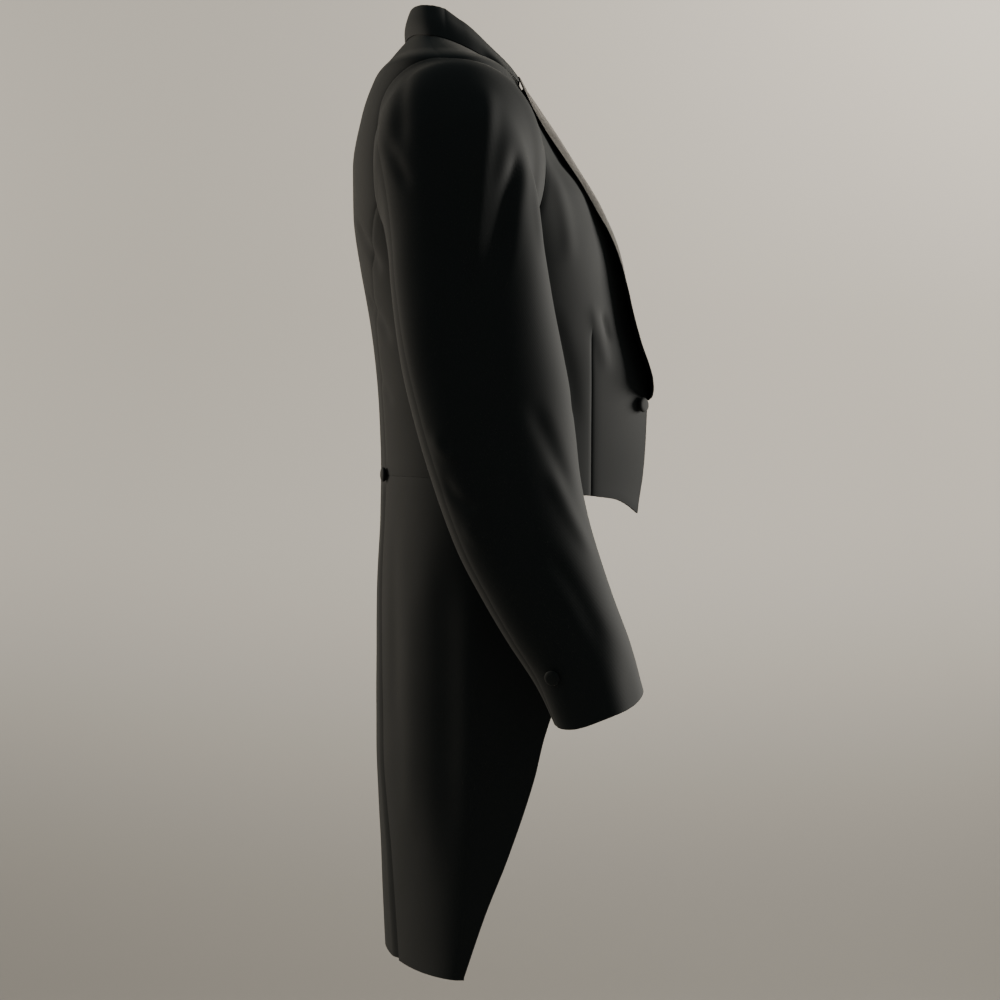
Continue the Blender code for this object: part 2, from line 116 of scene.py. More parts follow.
# z, back, widest and front edge in x, front edge's distance from the middle, half width, squareness
bodyAt = makeCurves((
    "z", "backX", "sideX", "edgeX", "edgeY", "halfWidth", "backSquare", "frontSquare"), (
    (0.000, -0.0510, -0.024, -0.010, 0.0740, 0.080, 2.1, 2.3),
    (-0.012, -0.0600, -0.024, 0.006, 0.0750, 0.109, 2.1, 2.5),
    (-0.030, -0.0720, -0.019, 0.034, 0.0760, 0.156, 2.2, 2.6),
    (-0.052, -0.0850, -0.011, 0.063, 0.0760, 0.212, 2.5, 3.0),
    (-0.093, -0.0970, 0.002, 0.094, 0.0750, 0.212, 3.2, 2.9),
    (-0.144, -0.1055, 0.012, 0.127, 0.0730, 0.205, 3.6, 2.7),
    (-0.190, -0.1055, 0.020, 0.154, 0.0720, 0.197, 3.4, 2.5),
    (-0.242, -0.0993, 0.030, 0.173, 0.0710, 0.186, 3.0, 2.3),
    (-0.310, -0.0880, 0.040, 0.187, 0.0700, 0.176, 2.7, 2.0),
    (-0.370, -0.0818, 0.048, 0.204, 0.0720, 0.170, 2.4, 1.6),
    (-0.420, -0.0793, 0.052, 0.2025, 0.0760, 0.167, 2.2, 1.45),
    (-0.467, -0.0783, 0.054, 0.1985, 0.0800, 0.166, 2.1, 1.4),
    (-0.507, -0.0790, 0.050, 0.1935, 0.0830, 0.167, 2.1, 1.5),
    (-0.600, -0.0835, 0.032, 0.200, 0.0830, 0.166, 2.0, 2.6),
    (-0.750, -0.0835, 0.024, 0.190, 0.0830, 0.157, 1.9, 2.8),
    (-0.870, -0.0790, 0.018, 0.180, 0.0830, 0.149, 1.7, 2.8),
    (-0.990, -0.0735, 0.004, 0.170, 0.0830, 0.142, 1.5, 2.8)))

waistLineAt = makeCurves(("angle", "z"), (
    (36.5, -0.5065), (41.5, -0.4975), (46, -0.4920), (52, -0.4895), (60, -0.4865),
    (90, -0.4780), (130, -0.4690), (180, -0.4650)))

hemLineAt = makeCurves(("angle", "z"), (
    (60, -0.9830), (90, -0.9875), (120, -0.9860), (150, -0.9810), (170, -0.9760), (180, -0.9730)))

tailEdgeAt = makeCurves(("z", "x"), (
    (-0.480, 0.125), (-0.560, 0.124), (-0.610, 0.122), (-0.655, 0.1165), (-0.690, 0.109),
    (-0.740, 0.0935), (-0.780, 0.084), (-0.860, 0.0575), (-0.920, 0.034), (-0.985, 0.012)))


def frontReach(row):
    share = (1 - (row.edgeY / row.halfWidth) ** row.frontSquare) ** (1 / row.frontSquare)
    return (row.edgeX - row.sideX) / share


def bodyBase(angle, z):
    # A point of the cloth's inner face: an angle of 0 faces front, 90 degrees the right side.
    row = bodyAt(z)
    forward = np.cos(angle)
    square = np.where(forward > 0, row.frontSquare, row.backSquare)
    reach = np.where(forward > 0, frontReach(row), row.sideX - row.backX)
    x = row.sideX + np.sign(forward) * reach * np.abs(forward) ** (2 / square)
    y = -row.halfWidth * np.maximum(np.sin(angle), 0.0) ** (2 / square)
    return point(x, y, z)


def bodyNormal(points):
    # Square to the section at the point, and leaning as the sections above and below do.
    def measure(x, y, z):
        row = bodyAt(z)
        front = x > row.sideX
        square = np.where(front, row.frontSquare, row.backSquare)
        reach = np.where(front, frontReach(row), row.sideX - row.backX)
        return np.abs((x - row.sideX) / reach) ** square + np.abs(y / row.halfWidth) ** square
    x, y, z = points[..., 0], points[..., 1], points[..., 2]
    gap = 0.0015
    slopes = [(measure(x + gap, y, z) - measure(x - gap, y, z)),
              (measure(x, y + gap, z) - measure(x, y - gap, z)),
              (measure(x, y, z + gap) - measure(x, y, z - gap))]
    return unit(np.stack(slopes, -1))


def onBody(angle, z, out=0.0):
    base = bodyBase(angle, z)
    return base + bodyNormal(base) * out


def angleAtX(x, z):
    row = bodyAt(z)
    forward = x > row.sideX
    square = np.where(forward, row.frontSquare, row.backSquare)
    reach = np.where(forward, frontReach(row), row.sideX - row.backX)
    share = np.minimum(np.abs(x - row.sideX) / reach, 1.0) ** (square / 2)
    return np.arccos(np.where(forward, share, -share))


def angleAtY(y, z, front):
    row = bodyAt(z)
    square = row.frontSquare if front else row.backSquare
    angle = np.arcsin(np.minimum(y / row.halfWidth, 1.0) ** (square / 2))
    return angle if front else math.pi - angle


def frontEdge(z):
    return angleAtY(bodyAt(z).edgeY, z, True)


def armholeZ(around):
    top, bottom = body["shoulderZ"], body["underarmZ"]
    return (top + bottom) / 2 + (top - bottom) / 2 * np.sin(around)


sideBackTopZ = float(armholeZ(math.radians(-18)))
sideBodyTopZ = sideBackTopZ - 0.004


def armholeCentreX(z):
    share = smooth((body["shoulderZ"] - z) / 0.09)
    low = mix(body["armholeX"], body["sideSeamX"][0], smooth((armholeZ(0) - z) / 0.1))
    return mix(bodyAt(body["shoulderZ"]).sideX, low, share)


def armholeAngle(z, front):
    sine = (z - armholeZ(0)) / (body["shoulderZ"] - armholeZ(0))
    reach = body["armholeHalfWidth"] * math.sqrt(max(1 - sine ** 2, 0.0))
    return angleAtX(armholeCentreX(z) + (reach if front else -reach), z)


def sideSeam(z):
    share = (body["underarmZ"] - z) / (body["underarmZ"] - body["waistButton"][1])
    return angleAtX(mix(*body["sideSeamX"], share), z)


def sideBackSeam(z):
    buttonY, buttonZ = body["waistButton"]
    start = -bodyBase(armholeAngle(sideBackTopZ, False), sideBackTopZ)[1]
    share = min(max((sideBackTopZ - z) / (sideBackTopZ - buttonZ), 0.0), 1.0)
    return angleAtY(buttonY + (start - buttonY) * (1 - share) ** 2.2, z, False)


def pleatLine(z):
    buttonY, buttonZ = body["waistButton"]
    return angleAtY(mix(buttonY, body["pleatHemY"], (buttonZ - z) / (buttonZ - body["tailHemZ"])), z, False)


def shoulderOrArmhole(z, front):
    return math.pi / 2 if z >= body["shoulderZ"] else armholeAngle(z, front)


def forepartSide(z):
    return sideSeam(z) if z <= body["underarmZ"] else shoulderOrArmhole(z, True)


def sideBodyFront(z):
    return sideSeam(z) if z <= body["underarmZ"] else armholeAngle(z, False)


def backSide(z):
    if z < body["waistButton"][1]:
        return pleatLine(z)
    return sideBackSeam(z) if z <= sideBackTopZ else shoulderOrArmhole(z, False)


def tailFront(z):
    return angleAtX(tailEdgeAt(z).x, z)


def bent(angle, level):
    # The height that a level has at this angle: it follows the waist seam and the hem.
    turn = np.degrees(angle)
    nearWaist = smooth(1 - abs(level - body["waistLevel"]) / body["waistBend"])
    nearHem = smooth(1 - (level - body["tailHemZ"]) / body["hemBend"])
    return (level + (waistLineAt(turn).z - body["waistLevel"]) * nearWaist
            + (hemLineAt(turn).z - body["tailHemZ"]) * nearHem)


def seamAngle(seam, level):
    return float(seam(float(bent(float(seam(level)), level))))


# folds and unevenness of the cloth, the same for every panel that they cross

def throughPoints(path, steps=10):
    # A smooth line through the few points of a fold.
    path = np.asarray(path, float)
    if len(path) == 2:
        return path
    ends = np.vstack([2 * path[0] - path[1], path, 2 * path[-1] - path[-2]])
    line = []
    for i in range(1, len(ends) - 2):
        a, b, c, d = ends[i - 1:i + 3]
        for t in np.arange(steps) / steps:
            line.append(0.5 * (2 * b + (c - a) * t + (2 * a - 5 * b + 4 * c - d) * t ** 2
                               + (3 * b - a - 3 * c + d) * t ** 3))
    return np.array(line + [path[-1]])


def foldHeight(points, path, depth, width, fade=0.3):
    # A soft trough (depth below 0) or ridge along the path, with slight shoulders beside it.
    line = throughPoints(path)
    height = np.zeros(len(points))
    reach = 2.6 * width
    near = np.all((points > line.min(0) - reach) & (points < line.max(0) + reach), axis=1)
    if not near.any():
        return height
    spots = points[near]
    best = np.full(len(spots), 1e9)
    along = np.zeros(len(spots))
    for i, (start, end) in enumerate(zip(line[:-1], line[1:])):
        step = end - start
        t = np.clip((spots - start) @ step / (step @ step), 0, 1)
        gap = np.linalg.norm(spots - start - t[:, None] * step, axis=1)
        closer = gap < best
        best = np.where(closer, gap, best)
        along = np.where(closer, (i + t) / (len(line) - 1), along)
    q = (best / width) ** 2
    height[near] = depth * (1 - 0.55 * q) * np.exp(-q) * smooth(along / fade) * smooth((1 - along) / fade)
    return height


def unevenness(points, size, seed):
    # Slow, shallow waves that keep a pressed panel from looking like sheet metal.
    random = np.random.default_rng(seed)
    height = np.zeros(len(points))
    for wave in (0.16, 0.11, 0.075, 0.052):
        for turn in range(3):
            direction = unit(random.normal(size=3))
            height += wave / 0.16 * np.sin(points @ direction * 2 * math.pi / wave + random.uniform(0, 6.28))
    return height * size / 3


# folds of the body: place as (angle round the body, height), then depth and half width in mm
bodyFolds = {
    "right": (
        (((158, -0.200), (146, -0.228), (136, -0.262)), -3.0, 11),
        (((162, -0.276), (150, -0.300), (139, -0.332)), -2.4, 10),
        (((165, -0.350), (154, -0.372), (146, -0.398)), -0.9, 10),
        (((49, -0.285), (47.5, -0.325), (48, -0.365)), 1.5, 9),
        (((43.5, -0.296), (43, -0.312), (43, -0.330)), -2.0, 6),
        (((70, -0.285), (64, -0.350), (60, -0.430)), -1.4, 12),
        (((52, -0.150), (54, -0.200), (57, -0.262)), 1.2, 10),
        (((50, -0.080), (47, -0.150), (44, -0.230)), -0.9, 14),
        (((120, -0.420), (112, -0.445), (104, -0.462)), -1.2, 9),
    ),
    "left": (
        (((157, -0.205), (147, -0.236), (138, -0.270)), -2.6, 11),
        (((163, -0.290), (151, -0.312), (141, -0.340)), -2.0, 10),
        (((48.5, -0.290), (47, -0.330), (48, -0.360)), 1.3, 9),
        (((43.5, -0.297), (43, -0.312), (43, -0.330)), -1.7, 6),
        (((71, -0.295), (66, -0.355), (61, -0.425)), -1.2, 12),
        (((53, -0.155), (55, -0.210), (58, -0.265)), 1.0, 10),
        (((49, -0.085), (47, -0.145), (45, -0.220)), -0.8, 14),
        (((122, -0.415), (114, -0.440), (105, -0.460)), -1.0, 9),
    ),
}

# folds of the tails, the same way
tailFolds = {
    "right": (
        (((112, -0.520), (108, -0.640), (106, -0.780), (104, -0.900)), -3.0, 24),
        (((96, -0.560), (92, -0.700), (90, -0.850)), 2.2, 22),
        (((132, -0.560), (130, -0.700), (131, -0.860)), 1.4, 20),
        (((147, -0.500), (143, -0.620), (142, -0.760)), -1.1, 15),
        (((80, -0.520), (76, -0.600), (73, -0.690)), -2.0, 16),
    ),
    "left": (
        (((110, -0.530), (107, -0.650), (103, -0.790), (103, -0.910)), -2.8, 24),
        (((95, -0.570), (90, -0.720), (89, -0.860)), 2.0, 22),
        (((133, -0.570), (131, -0.710), (129, -0.850)), 1.5, 20),
        (((148, -0.510), (145, -0.640), (142, -0.790)), -1.0, 15),
        (((79, -0.525), (75, -0.610), (74, -0.700)), -1.8, 16),
    ),
}


def bodyFoldHeights(points, side):
    name = "right" if side > 0 else "left"
    height = unevenness(points * [1, side, 1], 0.00035, 7)
    for path, depth, width in bodyFolds[name] + tailFolds[name]:
        line = [bodyBase(math.radians(angle), z) for angle, z in path]
        height += foldHeight(points, line, depth / 1000, width / 1000)
    return height


# panels of the body: rows of points from hem to top, each from front to back

def levelsBetween(low, high):
    # Heights of the rows, closer together at the ends and over the slope of the shoulder.
    levels = [low, low + 0.0008, low + 0.002, low + 0.004]
    z = low + 0.004
    while z < high - 0.004:
        z += 0.0013 if z > body["shoulderZ"] - 0.008 else body["grain"]
        if z < high - 0.0046:
            levels.append(z)
    return levels + [high - 0.004, high - 0.002, high - 0.0008, high]


def columnsBeforeDart(count):
    return max(int(round(count * body["beforeDart"])), 2)


def spreadAlong(length, count, dart=None):
    # Distances across a row, closer together at both edges and at a dart.
    edge = np.array([0.0, 0.0008, 0.002, 0.004]) * min(1.0, length / 0.02)
    if dart is None:
        middle = np.linspace(edge[-1], length - edge[-1], count)[1:-1]
    else:
        beside = np.array([-0.005, -0.0026, -0.0013, -0.0005, 0, 0.0005, 0.0013, 0.0026, 0.005])
        beside = dart + beside * min(1.0, dart / 0.012, (length - dart) / 0.012)
        before = columnsBeforeDart(count)
        middle = np.concatenate([np.linspace(edge[-1], beside[0], before)[1:-1], beside,
                                 np.linspace(beside[-1], length - edge[-1], count - before)[1:-1]])
    return np.concatenate([edge, middle, (length - edge)[::-1]])


def fineAngles(start, end):
    # Angles along a section, close together where the section turns sharply.
    near = np.geomspace(1e-7, 0.05, 60)
    angles = np.concatenate([
        np.linspace(start, end, 400), math.pi / 2 - near, math.pi / 2 + near, math.pi - near])
    angles = angles[(angles > start) & (angles < end)]
    return np.unique(np.concatenate([[start], angles, [end]]))


def acrossBody(start, end, level, count, dart=None):
    angles = fineAngles(start, end)
    line = bodyBase(angles, bent(angles, level))
    lengths = np.concatenate([[0], np.cumsum(np.linalg.norm(np.diff(line, axis=0), axis=1))])
    dartAt = None if dart is None else float(np.interp(dart, angles, lengths))
    places = spreadAlong(lengths[-1], count, dartAt)
    return np.stack([np.interp(places, lengths, line[:, i]) for i in range(3)], -1), places


def makeGrid(levels, startSeam, endSeam, count, dart=None, flare=None):
    rows, across = [], []
    for level in levels:
        start, end = seamAngle(startSeam, level), seamAngle(endSeam, level)
        if flare:
            start = flare(start, level)
        row, places = acrossBody(start, end, level, count, dart and dart(start, end, level))
        rows.append(row)
        across.append(places)
    return SimpleNamespace(points=np.array(rows), across=np.array(across))


def seamDip(grid, start=0.0, end=0.0, width=0.0032):
    # A sewn seam draws the cloth in a little along each side of it.
    fromEnd = grid.across[:, -1:] - grid.across
    return -start * np.exp(-(grid.across / width) ** 2) - end * np.exp(-(fromEnd / width) ** 2)


def rowDip(grid, low=0.0, high=0.0, width=0.0032):
    z = grid.points[..., 2]
    return -low * np.exp(-((z - z[:1]) / width) ** 2) - high * np.exp(-((z[-1:] - z) / width) ** 2)


def lengthsUp(points):
    steps = np.linalg.norm(np.diff(points, axis=0), axis=2).mean(axis=1)
    return np.concatenate([[0], np.cumsum(steps)])


def lengthsAcross(points):
    steps = np.linalg.norm(np.diff(points, axis=1), axis=2)
    return np.concatenate([np.zeros((len(points), 1)), np.cumsum(steps, axis=1)], axis=1)


def alongLine(line, count):
    # The line's shape in this many steps, closer together at both ends.
    lengths = np.concatenate([[0], np.cumsum(np.linalg.norm(np.diff(line, axis=0), axis=1))])
    places = spreadAlong(lengths[-1], count)
    return np.stack([np.interp(places, lengths, line[:, axis]) for axis in range(3)], -1)


# making a piece of cloth from its grid

def makeCloth(name, points, weave, side, wall, material, replaced, rim=0.0007):
    # A shell on the grid's points, as thick as the cloth, with softly turned edges.
    rows, count = points.shape[:2]
    index = np.arange(rows * count).reshape(rows, count)
    corners = np.stack([index[:-1, :-1], index[1:, :-1], index[1:, 1:], index[:-1, 1:]], -1).reshape(-1, 4)
    if side < 0:
        corners = corners[:, ::-1]
    mesh = bpy.data.meshes.new(name)
    mesh.from_pydata((points.reshape(-1, 3) * [1, side, 1]).tolist(), [], corners.tolist())
    layer = mesh.uv_layers.new(name="weave")
    layer.data.foreach_set("uv", weave.reshape(-1, 2)[corners.ravel()].ravel())
    mesh.materials.append(material)
    mesh.shade_smooth()
    piece = bpy.data.objects.new(name + "_cloth", mesh)
    bpy.context.scene.collection.objects.link(piece)
    shell = piece.modifiers.new("thickness", "SOLIDIFY")
    shell.thickness = wall
    shell.offset = 1.0
    edge = piece.modifiers.new("soft edge", "BEVEL")
    edge.width = rim
    edge.segments = 2
    edge.limit_method = "ANGLE"
    edge.angle_limit = math.radians(50)
    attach(piece, "root")
    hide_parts(*replaced)
    return piece


# materials

def srgb(hexColour):
    # A web colour as linear light.
    parts = [int(hexColour[i:i + 2], 16) / 255 for i in (1, 3, 5)]
    return [c / 12.92 if c <= 0.04045 else ((c + 0.055) / 1.055) ** 2.4 for c in parts] + [1.0]


def addNode(tree, kind, inputs=(), **settings):
    node = tree.nodes.new(kind)
    for name, value in settings.items():
        setattr(node, name, value)
    for socket, value in dict(inputs).items():
        if isinstance(value, bpy.types.NodeSocket):
            tree.links.new(value, node.inputs[socket])
        else:
            node.inputs[socket].default_value = value
    return node


def startMaterial(name):
    material = bpy.data.materials.new(name)
    material.use_nodes = True
    tree = material.node_tree
    shader = tree.nodes["Principled BSDF"]
    return material, tree, shader


wool = {
    "shade": "#181b1b", "lighter": "#1e2020", "roughness": 0.80,
    "sheen": 0.09, "sheenRoughness": 0.42, "sheenColour": "#e6e2da", "specular": 0.30,
    "twill": 1.5, "nap": 0.9,      # mm; a real twill line is 0.5 mm, too fine to show
}


def worstedWool(name):
    # Fine black worsted: matt and deep from straight on, with a soft grey bloom at the turns,
    # from the short nap, and a close diagonal twill.
    material, tree, shader = startMaterial(name)
    place = addNode(tree, "ShaderNodeUVMap", uv_map="weave")
    inMm = addNode(tree, "ShaderNodeVectorMath", {
        0: place.outputs["UV"], 1: (1000, 1000, 1000)}, operation="MULTIPLY")
    wander = addNode(tree, "ShaderNodeTexNoise", {"Vector": inMm.outputs[0], "Scale": 0.011, "Detail": 3.0})
    nap = addNode(tree, "ShaderNodeTexNoise", {
        "Vector": inMm.outputs[0], "Scale": 1 / wool["nap"], "Detail": 2.0})
    twill = addNode(tree, "ShaderNodeTexWave", {
        "Vector": inMm.outputs[0], "Scale": 0.4443 / wool["twill"], "Distortion": 0.6, "Detail": 1.0,
        "Detail Scale": 2.0}, wave_type="BANDS", bands_direction="DIAGONAL")
    tone = addNode(tree, "ShaderNodeMix", {
        0: wander.outputs["Fac"], 6: srgb(wool["shade"]), 7: srgb(wool["lighter"])}, data_type="RGBA")
    rough = addNode(tree, "ShaderNodeMapRange", {
        "Value": nap.outputs["Fac"], "To Min": wool["roughness"] - 0.06, "To Max": wool["roughness"] + 0.08})
    weaveHeight = addNode(tree, "ShaderNodeMath", {
        0: twill.outputs["Fac"], 1: nap.outputs["Fac"]}, operation="ADD")
    bump = addNode(tree, "ShaderNodeBump", {
        "Height": weaveHeight.outputs[0], "Strength": 0.35, "Distance": 0.00012})
    tree.links.new(tone.outputs[2], shader.inputs["Base Color"])
    tree.links.new(rough.outputs[0], shader.inputs["Roughness"])
    tree.links.new(bump.outputs[0], shader.inputs["Normal"])
    shader.inputs["Sheen Weight"].default_value = wool["sheen"]
    shader.inputs["Sheen Roughness"].default_value = wool["sheenRoughness"]
    shader.inputs["Sheen Tint"].default_value = srgb(wool["sheenColour"])
    shader.inputs["Specular IOR Level"].default_value = wool["specular"]
    shader.inputs["IOR"].default_value = 1.54
    return material


satin = {
    "shade": "#0c0c0e", "lighter": "#131316", "roughness": 0.32, "specular": 0.20,
    "rib": 1.1,      # mm; the real rib is 0.3 mm, too fine to show
}


def silkSatin(name):
    # Silk facing with a very fine rib: black where it mirrors dark, bright where it mirrors a lamp.
    material, tree, shader = startMaterial(name)
    place = addNode(tree, "ShaderNodeUVMap", uv_map="weave")
    inMm = addNode(tree, "ShaderNodeVectorMath", {
        0: place.outputs["UV"], 1: (1000, 1000, 1000)}, operation="MULTIPLY")
    slub = addNode(tree, "ShaderNodeTexNoise", {"Vector": inMm.outputs[0], "Scale": 0.05, "Detail": 2.0})
    rib = addNode(tree, "ShaderNodeTexWave", {
        "Vector": inMm.outputs[0], "Scale": 0.314 / satin["rib"], "Distortion": 0.4},
        wave_type="BANDS", bands_direction="Y")
    tone = addNode(tree, "ShaderNodeMix", {
        0: slub.outputs["Fac"], 6: srgb(satin["shade"]), 7: srgb(satin["lighter"])}, data_type="RGBA")
    rough = addNode(tree, "ShaderNodeMapRange", {
        "Value": slub.outputs["Fac"],
        "To Min": satin["roughness"] - 0.05, "To Max": satin["roughness"] + 0.08})
    bump = addNode(tree, "ShaderNodeBump", {
        "Height": rib.outputs["Fac"], "Strength": 0.25, "Distance": 0.00008})
    tree.links.new(tone.outputs[2], shader.inputs["Base Color"])
    tree.links.new(rough.outputs[0], shader.inputs["Roughness"])
    tree.links.new(bump.outputs[0], shader.inputs["Normal"])
    shader.inputs["Specular IOR Level"].default_value = satin["specular"]
    shader.inputs["IOR"].default_value = 1.54
    shader.inputs["Sheen Weight"].default_value = 0.02
    shader.inputs["Sheen Roughness"].default_value = 0.3
    return material


woolCloth = worstedWool("black worsted wool")
satinCloth = silkSatin("black silk satin")
buttonCloth = worstedWool("button cloth")
print("materials made")


# what the four panels of the body have in common

def foldedHeights(grid, side):
    mirrored = (grid.points * [1, side, 1]).reshape(-1, 3)
    return bodyFoldHeights(mirrored, side).reshape(grid.points.shape[:2])


def raised(grid, height):
    return grid.points + bodyNormal(grid.points) * height[..., None]


def makePanel(name, letter, grid, points, side, replaced):
    weave = point(grid.across, grid.points[..., 2], 0)[..., :2]
    piece = makeCloth(name + "_" + letter, points, weave, side, body["wall"], woolCloth,
                      [replaced + "_" + letter])


# the forepart: from the front edge to the side seam, with a dart up to the chest

def dartAngle(start, end, level):
    top = body["dartTopZ"]
    if level <= top:
        return seamAngle(lambda z: angleAtX(body["dartX"], z), level)
    topStart, topEnd = frontEdge(top), forepartSide(top)
    share = (angleAtX(body["dartX"], top) - topStart) / (topEnd - topStart)
    return mix(start, end, share)


hollowAt = makeCurves(("z", "depth"), (
    (-0.384, 0.0), (-0.335, 1.2), (-0.200, 1.6), (-0.165, 4.2), (-0.1408, 8.6), (-0.1124, 9.4), (-0.085, 8.0),
    (-0.062, 4.0), (-0.040, 0.0)))


def lapelHollow(grid):
    # Under the lapel the front lies back a little, which leaves room for the roll and for its shadow.
    z = grid.points[..., 2]
    depth = hollowAt(z).depth / 1000
    chest = np.maximum(depth - 0.003, 0.0)
    return (-np.minimum(depth, 0.003) * smooth(1.6 - grid.across / 0.03)
            - chest * smooth(grid.across / 0.03) * smooth((0.125 - grid.across) / 0.055))


leftCorner = {"forward": 0.0085, "up": 0.0028, "from": -0.40, "over": 0.09, "across": 0.11}


def makeForepart(side, letter):
    count = body["columns"]["forepart"]
    grid = makeGrid(levelsBetween(body["waistLevel"], 0.0), frontEdge, forepartSide, count, dart=dartAngle)
    height = foldedHeights(grid, side)
    dartColumn = columnsBeforeDart(count) + 6
    fromDart = np.abs(grid.across - grid.across[:, dartColumn:dartColumn + 1])
    below = smooth((body["dartTopZ"] - 0.002 - grid.points[..., 2]) / 0.012)
    height -= below * (0.0011 * np.exp(-(fromDart / 0.0011) ** 2) + 0.0005 * np.exp(-(fromDart / 0.005) ** 2))
    height += seamDip(grid, end=0.0006) + rowDip(grid, low=0.0004) + lapelHollow(grid)
    height *= smooth(grid.across / 0.004 + 0.6)
    points = raised(grid, height)
    if side < 0:
        # the left front hangs a few millimetres further forward at its corner
        swing = (smooth((leftCorner["from"] - grid.points[..., 2]) / leftCorner["over"])
                 * smooth(1 - grid.across / leftCorner["across"]))
        points += swing[..., None] * [leftCorner["forward"], 0, leftCorner["up"]]
    makePanel("forepart", letter, grid, points, side, "forepart")


def makeSideBody(side, letter):
    levels = levelsBetween(body["waistLevel"], sideBodyTopZ)
    grid = makeGrid(levels, sideBodyFront, backSide, body["columns"]["side_body"])
    height = foldedHeights(grid, side)
    height += seamDip(grid, start=0.0006, end=0.0006) + rowDip(grid, low=0.0004)
    makePanel("side_body", letter, grid, raised(grid, height), side, "side_body")


def makeBack(side, letter):
    # The back dips under the pleat of the tail below the waist.
    waist = body["waistLevel"]
    levels = levelsBetween(body["tailHemZ"], 0.0)

    def underlap(start, level):
        under = body["pleatUnderlap"] * smooth((waist - 0.018 - level) / 0.030)
        reach = -bodyBase(start, bent(start, level))[1]
        return float(angleAtY(reach + under, level, False)) if under > 0 else start
    grid = makeGrid(levels, backSide, lambda z: math.pi, body["columns"]["back"], flare=underlap)
    edges = [seamAngle(backSide, level) for level in levels]
    edgeY = np.array([-bodyBase(edge, bent(edge, level))[1] for edge, level in zip(edges, levels)])[:, None]
    levels = np.array(levels)[:, None]
    near = smooth((-grid.points[..., 1] - edgeY + 0.018) / 0.014)
    height = foldedHeights(grid, side)
    height -= body["pleatDepth"] * smooth((waist - 0.002 - levels) / 0.020) * near
    above = smooth((levels - waist) / 0.01)
    height += seamDip(grid, start=0.0006) * above + seamDip(grid, end=0.0006)
    makePanel("back", letter, grid, raised(grid, height), side, "back")


def makeTail(side, letter):
    levels = levelsBetween(body["tailHemZ"], body["waistLevel"])
    grid = makeGrid(levels, tailFront, pleatLine, body["columns"]["tail"])
    height = foldedHeights(grid, side) + rowDip(grid, high=0.0005)
    makePanel("tail", letter, grid, raised(grid, height), side, "skirt")


# the sleeve: one tube of points, cut into its top and under panels

sleeve = {
    "wall": 0.0019, "step": math.radians(18), "frontSeam": -2, "backSeam": 9, "square": 2.2,
    "cuffDrop": 0.011, "grain": 0.0042,
    "topColumns": 62, "underColumns": 50, "seamColumns": (0, 0.006, 0.014, 0.028),
    "hemFrom": 15.6, "hemRipple": 0.0011,     # ring number, metres
}

# how far the sleeve has turned to the front at each ring, in degrees
sleeveTurns = (0, 0, 0, 0, 0, 0, 1, 4, 7, 9, 10, 10, 10, 10, 9, 8, 7)

# middle x, y, z, roll out from level and pitch forward in degrees, half size fore-aft and across
sleeveRings = (
    (0.0060, -0.2090, -0.1540, 78.5, 0, 0.0820, 0.0990),
    (0.0030, -0.2180, -0.1600, 74.0, 0, 0.0780, 0.0990),
    (0.0010, -0.2265, -0.1710, 68.5, 0, 0.0755, 0.0945),
    (0.0045, -0.2325, -0.1880, 61.0, 1, 0.0745, 0.0855),
    (0.0100, -0.2360, -0.2115, 52.0, 2, 0.0750, 0.0730),
    (0.0145, -0.2375, -0.2400, 40.0, 4, 0.0750, 0.0600),
    (0.0190, -0.2385, -0.2770, 23.0, 6, 0.0765, 0.0505),
    (0.0255, -0.2395, -0.3220, 11.0, 8, 0.0775, 0.0475),
    (0.0335, -0.2400, -0.3640, 4.0, 9, 0.0780, 0.0465),
    (0.0420, -0.2405, -0.4040, 0.0, 11, 0.0770, 0.0460),
    (0.0500, -0.2405, -0.4420, 0.0, 12, 0.0740, 0.0455),
    (0.0590, -0.2405, -0.4820, 0.0, 15, 0.0700, 0.0450),
    (0.0720, -0.2400, -0.5260, 0.0, 19, 0.0655, 0.0445),
    (0.0890, -0.2385, -0.5670, 0.0, 22, 0.0605, 0.0440),
    (0.1090, -0.2365, -0.6110, 0.0, 23, 0.0550, 0.0430),
    (0.1290, -0.2345, -0.6520, 0.0, 22, 0.0500, 0.0420),
    (0.1455, -0.2330, -0.6860, 0.0, 20, 0.0455, 0.0415))

